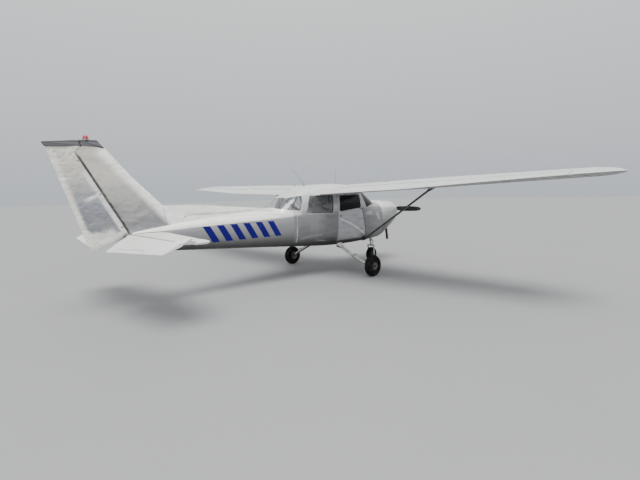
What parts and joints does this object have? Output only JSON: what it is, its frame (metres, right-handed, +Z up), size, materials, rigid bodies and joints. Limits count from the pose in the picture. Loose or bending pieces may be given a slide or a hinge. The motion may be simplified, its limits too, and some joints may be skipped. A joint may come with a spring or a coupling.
{
  "type": "light aircraft",
  "caption": "Parked high-wing light aircraft with strut-braced wings, fixed tricycle gear, swept fin, nose propeller and an enclosed cabin.",
  "frame": {"origin": "on the floor under the centre of the aircraft's outline, as it stands on its three wheels", "axes": "+X ahead to the propeller, +Y to the aircraft's left wing tip, +Z up"},
  "size_m": [8.158, 11, 2.625],
  "materials": {
    "bare_skin": "dull bare sheet metal with rows of rivets",
    "painted_skin": "weathered off-white paint on sheet metal",
    "window": "clear, slightly tinted panes",
    "interior_trim": "matt lining",
    "interior_plastic": "matt black",
    "upholstery": "woven cloth",
    "beacon_lens": "red glossy lens",
    "firewall_steel": "dull steel sheet",
    "engine_casting": "rough casting",
    "exhaust_steel": "heat-stained steel",
    "propeller_blade": "satin black paint",
    "wheel_metal": "satin",
    "nose_leg_metal": "silver paint",
    "leg_paint": "white gloss paint",
    "tyre": "dusty black"
  },
  "bodies": {
    "airframe": {"firewall": "firewall_steel", "cabin_floor": "bare_skin", "front_deck": "bare_skin", "cabin_roof": "painted_skin", "windshield": "window", "rear_window": "window", "baggage_wall": "interior_trim", "tailcone": "bare_skin", "fin": "painted_skin", "beacon": "beacon_lens", "stabiliser": "painted_skin", "cowl_upper": "bare_skin", "cowl_lower": "bare_skin", "engine": "engine_casting", "exhaust_pipe": "exhaust_steel", "instrument_panel": "interior_plastic", "rear_bench": "upholstery", "nose_strut": "nose_leg_metal", "cabin_side_left": "bare_skin", "side_window_left": "window", "seat_front_left": "upholstery", "wing_left": "painted_skin", "wing_strut_left": "painted_skin", "main_leg_left": "leg_paint", "cabin_side_right": "bare_skin", "side_window_right": "window", "seat_front_right": "upholstery", "wing_right": "painted_skin", "wing_strut_right": "painted_skin", "main_leg_right": "leg_paint"},
    "propeller": {"propeller": "propeller_blade", "spinner": "wheel_metal"},
    "nose_fork": {"nose_fork": "nose_leg_metal"},
    "nose_wheel": {"nose_wheel": "wheel_metal", "nose_tyre": "tyre"},
    "main_wheel_left": {"main_wheel_left": "wheel_metal", "main_tyre_left": "tyre"},
    "main_wheel_right": {"main_wheel_right": "wheel_metal", "main_tyre_right": "tyre"},
    "door_left": {"door_left": "bare_skin", "door_window_left": "window"},
    "door_right": {"door_right": "bare_skin", "door_window_right": "window"},
    "baggage_door": {"baggage_door": "bare_skin"},
    "flap_left": {"flap_left": "painted_skin"},
    "flap_right": {"flap_right": "painted_skin"},
    "aileron_left": {"aileron_left": "painted_skin"},
    "aileron_right": {"aileron_right": "painted_skin"},
    "elevator": {"elevator": "painted_skin"},
    "trim_tab": {"trim_tab": "painted_skin"},
    "rudder": {"rudder": "painted_skin"}
  },
  "joints": [
    {"name": "propeller_spin", "type": "hinge", "parent": "airframe", "child": "propeller", "pos_m": [3.951, 0, 1.345], "axis": [1, 0, 0], "continuous": true},
    {"name": "nose_steering", "type": "hinge", "parent": "airframe", "child": "nose_fork", "pos_m": [3.075, 0, 0.4], "axis": [-0.131, 0, 0.9914], "range_deg": [-30, 30]},
    {"name": "nose_wheel_spin", "type": "hinge", "parent": "nose_fork", "child": "nose_wheel", "pos_m": [3.089, 0, 0.178], "axis": [0, 1, 0], "continuous": true},
    {"name": "main_wheel_left_spin", "type": "hinge", "parent": "airframe", "child": "main_wheel_left", "pos_m": [1.439, 1.275, 0.222], "axis": [0, 1, 0], "continuous": true},
    {"name": "main_wheel_right_spin", "type": "hinge", "parent": "airframe", "child": "main_wheel_right", "pos_m": [1.439, -1.275, 0.222], "axis": [0, 1, 0], "continuous": true},
    {"name": "door_left_hinge", "type": "hinge", "parent": "airframe", "child": "door_left", "pos_m": [2.144, 0.518, 0.85], "axis": [0.2041, -0.0663, -0.9767], "range_deg": [0, 65]},
    {"name": "door_right_hinge", "type": "hinge", "parent": "airframe", "child": "door_right", "pos_m": [2.144, -0.518, 0.85], "axis": [-0.2041, -0.0663, 0.9767], "range_deg": [0, 65]},
    {"name": "baggage_door_hinge", "type": "hinge", "parent": "airframe", "child": "baggage_door", "pos_m": [0.532, 0.484, 1.1], "axis": [0, 0, -1], "range_deg": [0, 90]},
    {"name": "flap_left_travel", "type": "hinge", "parent": "airframe", "child": "flap_left", "pos_m": [1.07923, 1.57354, 1.72531], "axis": [0, -0.9996, -0.0295], "range_deg": [0, 40]},
    {"name": "flap_right_travel", "type": "hinge", "parent": "airframe", "child": "flap_right", "pos_m": [1.07923, -1.57354, 1.72531], "axis": [0, -0.9996, 0.0295], "range_deg": [0, 40]},
    {"name": "aileron_left_hinge", "type": "hinge", "parent": "airframe", "child": "aileron_left", "pos_m": [1.10368, 3.7355, 1.91887], "axis": [0.0993, 0.994, 0.0467], "range_deg": [-17.5, 17.5]},
    {"name": "aileron_right_hinge", "type": "hinge", "parent": "airframe", "child": "aileron_right", "pos_m": [1.10368, -3.7355, 1.91887], "axis": [-0.0993, 0.994, -0.0467], "range_deg": [-17.5, 17.5]},
    {"name": "elevator_hinge", "type": "hinge", "parent": "airframe", "child": "elevator", "pos_m": [-3.076, 0, 1.145], "axis": [0, 1, 0], "range_deg": [0, 51]},
    {"name": "trim_tab_hinge", "type": "hinge", "parent": "elevator", "child": "trim_tab", "pos_m": [-3.34707, -0.81, 1.02994], "axis": [-0.1076, 0.9931, -0.0457], "range_deg": [-13, 28]},
    {"name": "rudder_hinge", "type": "hinge", "parent": "airframe", "child": "rudder", "pos_m": [-3.076, 0, 1.163], "axis": [-0.4724, 0, 0.8814], "range_deg": [-17.7, 17.7]}
  ],
  "couplings": [
    {"joint": "flap_right_travel", "follows": "flap_left_travel", "ratio": 1},
    {"joint": "aileron_right_hinge", "follows": "aileron_left_hinge", "ratio": -1}
  ]
}
